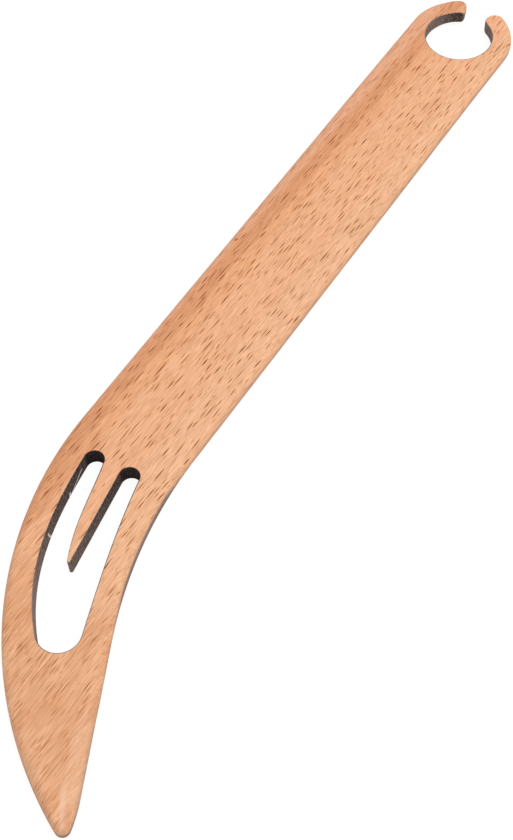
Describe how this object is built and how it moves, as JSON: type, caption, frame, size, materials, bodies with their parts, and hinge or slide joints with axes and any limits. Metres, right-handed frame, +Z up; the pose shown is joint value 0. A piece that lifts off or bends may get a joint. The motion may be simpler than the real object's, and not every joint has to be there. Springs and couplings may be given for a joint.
{
  "type": "weaving shuttle",
  "caption": "Flat wooden weaving shuttle with an open notch in its round head and a bent, pointed blade whose slots and thin tongue open into an eye.",
  "frame": {"origin": "on the ground below the middle of the shuttle's length and breadth, at the centre of the bounding box's bottom face", "axes": "+Z up through the board's thickness, +Y along the straight handle towards the head with the open notch, +X towards the side that the point bends to"},
  "size_m": [0.0594, 0.2656, 0.005],
  "materials": {
    "beech": "sanded and lightly oiled beech with a satin sheen, fine dark ray flecks along the handle, and the walls of the cut-outs charred dark brown by the cutter"
  },
  "bodies": {
    "root": {"shuttle_board": "beech"}
  },
  "joints": []
}
